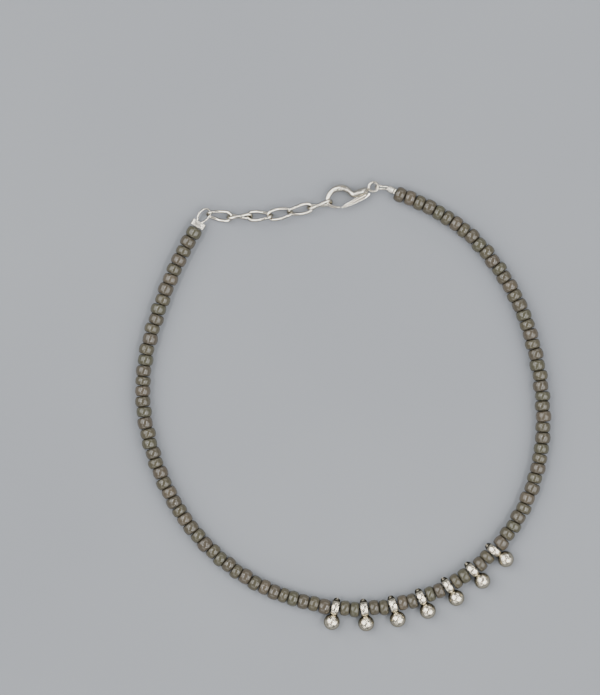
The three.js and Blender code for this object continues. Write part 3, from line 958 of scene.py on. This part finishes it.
def on_clasp_loop(forward, side):
    """A place on the clasp's loop: it turns a little at the crimp, and its plane is rolled."""
    turn = CLASP_LOOP_HEADING - clasp_end_heading
    flat = side * math.cos(CLASP_LOOP_ROLL)
    x = forward * math.cos(turn) - flat * math.sin(turn) + clasp_loop_start
    y = forward * math.sin(turn) + flat * math.cos(turn)
    level = min(1, forward / (CLASP_LOOP_REACH - inside_ring)) * (CHAIN_Z - STRING_Z)
    return at_end(clasp_end, clasp_end_heading, x, y, side * math.sin(CLASP_LOOP_ROLL) + level)


clasp_loop = [
    on_clasp_loop(row["forward"] * CLASP_LOOP_REACH, -row["side"] * CLASP_LOOP_SPREAD) for row in CLASP_LOOP
]
start, end = (
    at_end(clasp_end, clasp_end_heading, CLASP_CRIMP_LENGTH / 2 - INTO_CRIMP, 0, z) for z in (-HELD_APART, HELD_APART)
)
wire_loop("loop_to_the_clasp", "clasp_wire_loop", [start, *clasp_loop, end])
ring_middle = on_clasp_loop(CLASP_LOOP_REACH - inside_ring + (RING_D - RING_WIRE_D) / 2, 0)
print("ring's middle in mm:", [round(v, 3) for v in ring_middle])

# %% The cut end of the wire
WIRE_END_LENGTH = 0.95
WIRE_END_DIP = 0.3
WIRE_END_SHARES = (0.45, 0.1, -0.3, -0.55)  # of its length, where its points lie across the string

end_x = -CLASP_CRIMP_LENGTH / 2 - CLASP_CRIMP_TO_BEAD / 2
wire_loop(
    "cut_wire_end",
    "wire_end",
    [
        at_end(
            clasp_end,
            clasp_end_heading,
            end_x,
            share * WIRE_END_LENGTH,
            WIRE_D + 2 * CLEARANCE - WIRE_END_DIP * share**2,
        )
        for share in WIRE_END_SHARES
    ],
)

# %% [markdown]
# ## Chain links
#
# The chain is a curb chain: oval links of round wire, each given a twist so that they lie flat in a row. A link starts
# as a torus. Its two halves are moved apart, which makes the long sides, the sides are cut into short spans and bowed
# out a little, the link is brought back to its width, and then it is twisted about its length.

# %% One link
LINK_WIDTH = 2.6
LINK_WIRE_D = 0.63
LINK_BOW = 0.13  # mm that the middle of each side stands out
LINK_CUTS = 9  # across each side
LINK_START = math.radians(5)  # turn of the torus, so that none of its rings lies right where it is moved apart
LINK_TWIST = math.radians(-70)
LINK_ROLLS = [38, 88, -38, -15, 36, 88]  # degrees, as the links happen to lie


def solid_frame(node_name):
    """Middle, heading and length in millimetres of a long solid, read from its points."""
    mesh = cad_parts[node_name].data
    spots = np.unique(np.round([np.array(point.co) / MM for point in mesh.vertices], 4), axis=0)
    middle = spots.mean(axis=0)
    long_way = np.linalg.svd(spots - middle)[2][0]
    long_way = long_way if long_way[0] > 0 else -long_way
    reach = (spots - middle) @ long_way
    return Vector(middle), math.atan2(long_way[1], long_way[0]), reach.max() - reach.min()


link_length = solid_frame("chain_link_1")[2]
link_radius = (LINK_WIDTH - LINK_WIRE_D) / 2
bpy.ops.object.select_all(action="DESELECT")
bpy.ops.mesh.primitive_torus_add(
    major_segments=36,
    minor_segments=14,
    major_radius=link_radius * MM,
    minor_radius=LINK_WIRE_D / 2 * MM,
    rotation=(0, 0, LINK_START),
)
link = set_down(bpy.context.object)
straight = link_length - LINK_WIDTH
bpy.ops.object.mode_set(mode="EDIT")
for side in (1, -1):
    pick("VERT", lambda at, facing: at.x * side > 0)
    bpy.ops.transform.translate(value=(side * straight / 2 * MM, 0, 0))
pick("EDGE", lambda at, facing: abs(at.x) < 0.01)
bpy.ops.mesh.subdivide(number_cuts=LINK_CUTS)
side_reach = straight / 2 + link_radius * math.sin(LINK_START)
for ring in range(LINK_CUTS):
    share = 2 * (ring + 1) / (LINK_CUTS + 1) - 1
    for side in (1, -1):
        pick(
            "VERT",
            lambda at, facing: abs(at.x / side_reach - share) < 0.8 / (LINK_CUTS + 1) and at.y * side > 0,
        )
        bpy.ops.transform.translate(value=(0, side * LINK_BOW * math.cos(share * math.pi / 2) * MM, 0))
bpy.ops.mesh.select_all(action="SELECT")
bpy.ops.transform.resize(value=(1, LINK_WIDTH / (LINK_WIDTH + 2 * LINK_BOW), 1))
bpy.ops.object.mode_set(mode="OBJECT")
finish_with(link, "SIMPLE_DEFORM", deform_method="TWIST", deform_axis="X", angle=LINK_TWIST)
outward(link)
bpy.ops.object.shade_smooth()
link.data.materials.append(wire_silver)
print("link:", [round(v / MM, 2) for v in link.dimensions], "mm, straight part", round(straight, 2))

# %% [markdown]
# The links hang together as in the photograph: some show their open side, others their edge. Each copy is rolled about
# its own length, and then turned to its heading in the chain.

# %% Six links
for number, roll in enumerate(LINK_ROLLS, 1):
    middle, heading, _ = solid_frame(f"chain_link_{number}")
    copy = copy_of(link, f"curb_link_{number}", middle, (math.radians(roll), 0, heading))
    # Only painted shade on the link's flanks.
    mark_tarnish_and_shade(copy, gain=0.0)
    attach(copy, "anklet")
    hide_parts(f"chain_link_{number}")
    low, high = (np.array(corner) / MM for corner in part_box(f"chain_link_{number}"))
    spots = np.array([point.co for point in copy.data.vertices]) / MM
    off = np.abs(np.concatenate([spots.min(axis=0) - low, spots.max(axis=0) - high])).max()
    print(copy.name, "differs from its solid's box by", round(float(off), 3), "mm")
bpy.data.objects.remove(link)

# %% [markdown]
# ## Clasp body
#
# A lobster clasp is cast in one with its ring: a plump body, a bowed back that thins into a hook, and a slot in which
# the lever turns. The casting is built like a lofted form. Each section is a circle drawn out to its width and height,
# the circles are bridged into one skin, and a subdivision surface rounds it. The ring is a torus, and a voxel remesh
# melts it and the body together. In the table, along is a share of the clasp's reach and side a share of its belly,
# and width and height are shares of the spine's width and the clasp's thickness.

# %% Sections of the clasp
CLASP_HEADING = math.radians(197)
CLASP_REACH = 9.5
CLASP_BELLY = 1.8
CLASP_THICKNESS = 2.6
SPINE_WIDTH = 1.45
SECTION_SIDES = 14
CENTRE_STEPS = 20
CASTING_VOXEL = 0.06  # mm
CLASP_SECTIONS = [
    {"along": 0.1, "side": 0.06, "width": 0.4, "height": 0.22},
    {"along": 0.15, "side": 0.09, "width": 0.74, "height": 0.58},
    {"along": 0.21, "side": 0.12, "width": 0.99, "height": 0.9},
    {"along": 0.31, "side": 0.15, "width": 0.98, "height": 1.0},
    {"along": 0.4, "side": 0.2, "width": 0.99, "height": 0.95},
    {"along": 0.462, "side": 0.15, "width": 0.97, "height": 0.86},
    {"along": 0.5, "side": -0.26, "width": 0.7, "height": 0.76},
    {"along": 0.535, "side": -0.57, "width": 0.8, "height": 0.7},
    {"along": 0.595, "side": -0.87, "width": 0.96, "height": 0.64},
    {"along": 0.685, "side": -0.98, "width": 0.98, "height": 0.6},
    {"along": 0.775, "side": -0.98, "width": 0.88, "height": 0.54},
    {"along": 0.865, "side": -0.83, "width": 0.74, "height": 0.45},
    {"along": 0.94, "side": -0.54, "width": 0.66, "height": 0.36},
    {"along": 0.985, "side": -0.2, "width": 0.58, "height": 0.28},
    {"along": 1.0, "side": 0.18, "width": 0.52, "height": 0.24},
    {"along": 0.98, "side": 0.54, "width": 0.42, "height": 0.23},
    {"along": 0.93, "side": 0.78, "width": 0.4, "height": 0.22},
    {"along": 0.855, "side": 0.965, "width": 0.37, "height": 0.22},
    {"along": 0.775, "side": 1.055, "width": 0.33, "height": 0.21},
]
clasp_place = Matrix.Translation(ring_middle * MM) @ Matrix.Rotation(CLASP_HEADING, 4, "Z")
centre_points = [[row["along"] * CLASP_REACH, row["side"] * CLASP_BELLY, 0] for row in CLASP_SECTIONS]
centre_line = smooth_path(centre_points, CENTRE_STEPS)
circles = []
for number, row in enumerate(CLASP_SECTIONS):
    spot, heading = on_path(centre_line, centre_line[1][CENTRE_STEPS * number])
    bpy.ops.mesh.primitive_circle_add(
        vertices=SECTION_SIDES,
        radius=0.5 * MM,
        location=spot * MM,
        rotation=(math.pi / 2, 0, heading + math.pi / 2),
    )
    circle = bpy.context.object
    circle.scale = (row["width"] * SPINE_WIDTH, row["height"] * CLASP_THICKNESS, 1)
    circles.append(set_down(circle))
clasp_body = joined("clasp_casting", *circles)
bpy.ops.object.mode_set(mode="EDIT")
bpy.ops.mesh.select_mode(type="EDGE")
bpy.ops.mesh.select_all(action="SELECT")
bpy.ops.mesh.bridge_edge_loops()
bpy.ops.mesh.select_all(action="SELECT")
bpy.ops.mesh.fill_holes(sides=SECTION_SIDES)
bpy.ops.object.mode_set(mode="OBJECT")
outward(clasp_body)
soften(clasp_body, 2)
bpy.ops.mesh.primitive_torus_add(
    major_segments=48,
    minor_segments=20,
    major_radius=(RING_D - RING_WIRE_D) / 2 * MM,
    minor_radius=RING_WIRE_D / 2 * MM,
)
clasp_body = joined("clasp_casting", bpy.context.object, clasp_body)
finish_with(clasp_body, "REMESH", mode="VOXEL", voxel_size=CASTING_VOXEL * MM)
finish_with(clasp_body, "SMOOTH", factor=0.5, iterations=4)
print("clasp casting:", len(clasp_body.data.polygons), "faces from", len(circles), "sections")


# %% [markdown]
# The lever's outline is drawn point by point and filled, and a modifier gives it the lever's thickness. The same
# outline, grown by the clearance and turned through the lever's swing in a few steps, cuts the slot, as a slotting
# cutter would. The modifier keeps the faces in the same order on each run, and with them the cuts.

# %% Plates with an outline
LEVER_THICKNESS = 0.8
LEVER_CLEARANCE = 0.08
LEVER_SWING = math.radians(18)
PIVOT = Vector((1.95, 0.42, 0))
LEVER_OUTLINE = [
    {"along": 0.747, "side": 1.1},
    {"along": 0.59, "side": 0.84},
    {"along": 0.434, "side": 0.635},
    {"along": 0.29, "side": 0.4},
    {"along": 0.255, "side": 0.12},
    {"along": 0.205, "side": -0.03},
    {"along": 0.158, "side": 0.12},
    {"along": 0.13, "side": 0.42},
    {"along": 0.11, "side": 0.66},
    {"along": 0.176, "side": 0.85},
    {"along": 0.254, "side": 0.98},
    {"along": 0.415, "side": 1.12},
    {"along": 0.566, "side": 1.24},
    {"along": 0.674, "side": 1.28},
    {"along": 0.747, "side": 1.2},
]


def plate(name, outline, thickness):
    """A plate with that outline in millimetres, half its thickness above and half below."""
    mesh = bpy.data.meshes.new(name)
    mesh.from_pydata([(x * MM, y * MM, 0) for x, y in outline], [], [range(len(outline))])
    blank = bpy.data.objects.new(name, mesh)
    bpy.context.collection.objects.link(blank)
    finish_with(blank, "SOLIDIFY", thickness=thickness * MM, offset=0)
    outward(blank)
    return blank


def rounded_outline(rows):
    """The outline's points with a smooth curve through them, left sharp at its first and last corner."""
    knots = [[row["along"] * CLASP_REACH, row["side"] * CLASP_BELLY, 0] for row in rows]
    fine, _ = smooth_path(knots, steps=4)
    return [(x, y) for x, y, _ in fine]


def grown(outline, by):
    """The outline with each point moved outwards by that many millimetres."""
    points = np.array(outline)
    along = np.roll(points, -1, axis=0) - np.roll(points, 1, axis=0)
    outwards = np.stack([along[:, 1], -along[:, 0]], axis=1) / np.linalg.norm(along, axis=1)[:, None]
    x, y = points.T
    counterclockwise = np.sum(x * np.roll(y, -1) - np.roll(x, -1) * y) > 0
    return points + outwards * (by if counterclockwise else -by)


lever_outline = rounded_outline(LEVER_OUTLINE)


def cut(thing, cutter):
    finish_with(thing, "BOOLEAN", object=cutter, operation="DIFFERENCE", solver="EXACT")
    bpy.data.objects.remove(cutter)


# %% Slot and rivet hole
PIN_D = 0.44
PIN_CLEARANCE = 0.06
SLOT_STEPS = 3


def drill_for_rivet(thing):
    bpy.ops.mesh.primitive_cylinder_add(
        vertices=24, radius=(PIN_D / 2 + PIN_CLEARANCE) * MM, depth=2 * CLASP_THICKNESS * MM, location=PIVOT * MM
    )
    cut(thing, bpy.context.object)


slot_outline = grown(lever_outline, LEVER_CLEARANCE)
for step in range(SLOT_STEPS + 1):
    slot = plate("slot_cutter", slot_outline, LEVER_THICKNESS + 2 * LEVER_CLEARANCE)
    about_pivot = Matrix.Translation(PIVOT * MM) @ Matrix.Rotation(-LEVER_SWING * step / SLOT_STEPS, 4, "Z")
    slot.matrix_world = about_pivot @ Matrix.Translation(-PIVOT * MM)
    cut(clasp_body, set_down(slot))
drill_for_rivet(clasp_body)
print("clasp after cutting:", len(clasp_body.data.polygons), "faces")

# %% [markdown]
# On the real clasp an oval hollow was cast into the back near the hook, with a raised bright rim. A flattened ball
# presses it out.

# %% Hollow in the back
HOLLOW = {"along": 0.64, "side": -0.8, "up": 0.8, "length": 1.7, "width": 0.85, "depth": 0.35}

bpy.ops.mesh.primitive_uv_sphere_add(
    segments=32,
    ring_count=16,
    radius=0.5 * MM,
    location=(HOLLOW["along"] * CLASP_REACH * MM, HOLLOW["side"] * CLASP_BELLY * MM, HOLLOW["up"] * MM),
)
dent = bpy.context.object
dent.scale = (HOLLOW["length"], HOLLOW["width"], 2 * HOLLOW["depth"])
cut(clasp_body, set_down(dent))
clasp_body.matrix_world = clasp_place
set_down(clasp_body)
outward(clasp_body)
bpy.ops.object.shade_smooth_by_angle(angle=math.radians(35))
clasp_body.data.materials.clear()
clasp_body.data.materials.append(bright_silver)
# Oxide in the casting's sunk places, and painted shade on its flanks.
mark_tarnish_and_shade(clasp_body, gain=2.5, sides=0.35)
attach(clasp_body, "anklet")
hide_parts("clasp_body")

# %% [markdown]
# ## Lever
#
# The lever is a slim cast arm that closes the hook and turns on a rivet. It is the outline's plate with its edges
# rounded by a bevel, a hole for the rivet, and a groove along each face, cut with a round bar laid along it.

# %% The lever
LEVER_GROOVE = [(0.2, 0.6), (0.27, 0.69), (0.42, 0.87), (0.575, 1.04), (0.68, 1.15)]  # shares, as in the outline
GROOVE_D = 0.3  # mm across the cutter
GROOVE_DEPTH = 0.12
LEVER_EDGE = 0.06  # mm that its edges are rounded

lever = plate("clasp_thumb_lever", lever_outline, LEVER_THICKNESS)
finish_with(lever, "BEVEL", width=LEVER_EDGE * MM, segments=2, limit_method="ANGLE", angle_limit=math.radians(60))
for side in (1, -1):
    groove_z = side * (LEVER_THICKNESS / 2 + GROOVE_D / 2 - GROOVE_DEPTH)
    groove_line = [(along * CLASP_REACH, across * CLASP_BELLY, groove_z) for along, across in LEVER_GROOVE]
    cut(lever, bend_wire("groove_cutter", groove_line, GROOVE_D))
drill_for_rivet(lever)
lever.matrix_world = clasp_place
set_down(lever)
outward(lever)
bpy.ops.object.shade_smooth_by_angle(angle=math.radians(35))
# Oxide in the lever's groove, and painted shade on its flanks.
mark_tarnish_and_shade(lever, gain=3.0, sides=0.35)
lever.data.materials.clear()
lever.data.materials.append(bright_silver)
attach(lever, "lever")
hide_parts("clasp_lever")
print("lever:", [round(v / MM, 2) for v in lever.dimensions], "mm")

# %% [markdown]
# ## Rivet
#
# The lever turns on a short pin, pressed through the body and hammered over at both ends. It is a bar whose two end
# rims are rounded by a bevel, as the hammer leaves them.

# %% The rivet
PIN_LENGTH = 1.9
PIN_DOME = 0.08  # mm that its ends are rounded

bpy.ops.object.select_all(action="DESELECT")
bpy.ops.mesh.primitive_cylinder_add(
    vertices=24, radius=PIN_D / 2 * MM, depth=PIN_LENGTH * MM, location=PIVOT * MM, end_fill_type="NGON"
)
rivet = bpy.context.object
rivet.name = "hammered_rivet"
bpy.ops.object.mode_set(mode="EDIT")
pick("EDGE", lambda at, facing: abs(at.z) > PIN_LENGTH * 0.49)
bpy.ops.mesh.bevel(offset=PIN_DOME * MM, segments=3, affect="EDGES")
bpy.ops.object.mode_set(mode="OBJECT")
rivet.matrix_world = clasp_place @ rivet.matrix_world
set_down(rivet)
outward(rivet)
bpy.ops.object.shade_smooth_by_angle(angle=math.radians(35))
# Oxide in the rivet's sunk places, and painted shade on its flanks.
mark_tarnish_and_shade(rivet)
rivet.data.materials.append(wire_silver)
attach(rivet, "anklet")
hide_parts("clasp_pin")

# %% [markdown]
# ## Floor and light
#
# The floor is plain and pale. The light is that of a small studio: two long soft boxes, left and right of the camera
# and a little turned, draw the pair of slanting glints that each bead and ball shows, with a dark line between them.
# Two wide panels behind them fill the metal with soft white, two weaker panels at the ends keep the silver's far sides
# from going dull, and a dim room lights the rest.

# %% Floor
FLOOR_SIZE = 3.0  # m
FLECKS = 12.0  # to the metre

bpy.ops.object.select_all(action="DESELECT")
bpy.ops.mesh.primitive_plane_add(size=FLOOR_SIZE, location=(0, 0, 0))
floor = bpy.context.object
floor.name = "pale_floor"
bpy.ops.object.mode_set(mode="EDIT")
bpy.ops.mesh.subdivide(number_cuts=3)
bpy.ops.object.mode_set(mode="OBJECT")
board, shader = new_finish("pale_matt_board", Roughness=0.8)
place = node(board, "TexCoord")
fleck = node(board, "TexNoise", links={"Vector": place.outputs["Object"]}, inputs={"Scale": FLECKS, "Detail": 3.0})
board_shade = set_ramp(
    node(board, "ValToRGB", links={"Fac": fleck.outputs["Fac"]}), (0.3, "#7F8287"), (0.7, "#84878B")
)
connect(board, board_shade, shader.inputs["Base Color"])
floor.data.materials.append(board)

# %% Soft boxes, panels and room
SLANT = math.radians(-24)


def soft_box(name, lean, distance, width, length, power, slant=SLANT):
    """A soft light, in metres and watts, that leans from straight above by the given degrees and faces the anklet."""
    data = bpy.data.lights.new(name, "AREA")
    data.shape = "RECTANGLE"
    data.size = width
    data.size_y = length
    data.energy = power
    lamp = bpy.data.objects.new(name, data)
    bpy.context.collection.objects.link(lamp)
    tilt = math.radians(lean)
    lamp.matrix_world = (
        Matrix.Rotation(slant, 4, "Z") @ Matrix.Rotation(tilt, 4, "Y") @ Matrix.Translation((0, 0, distance))
    )
    return lamp


for side, name in ((-1, "left"), (1, "right")):
    soft_box(f"{name}_strip", side * 23, distance=1.0, width=0.06, length=1.4, power=7.0)
    soft_box(f"{name}_panel", side * 50, distance=1.2, width=0.8, length=1.1, power=12.0)
    soft_box(
        f"{name}_end_panel", side * 62, distance=1.2, width=0.35, length=0.9, power=3.0, slant=SLANT + math.pi / 2
    )
room = bpy.data.worlds.new("soft_room")
room.use_nodes = True
background = room.node_tree.nodes["Background"]
background.inputs["Color"].default_value = linear("#C9CCD2")
background.inputs["Strength"].default_value = 0.3
bpy.context.scene.world = room
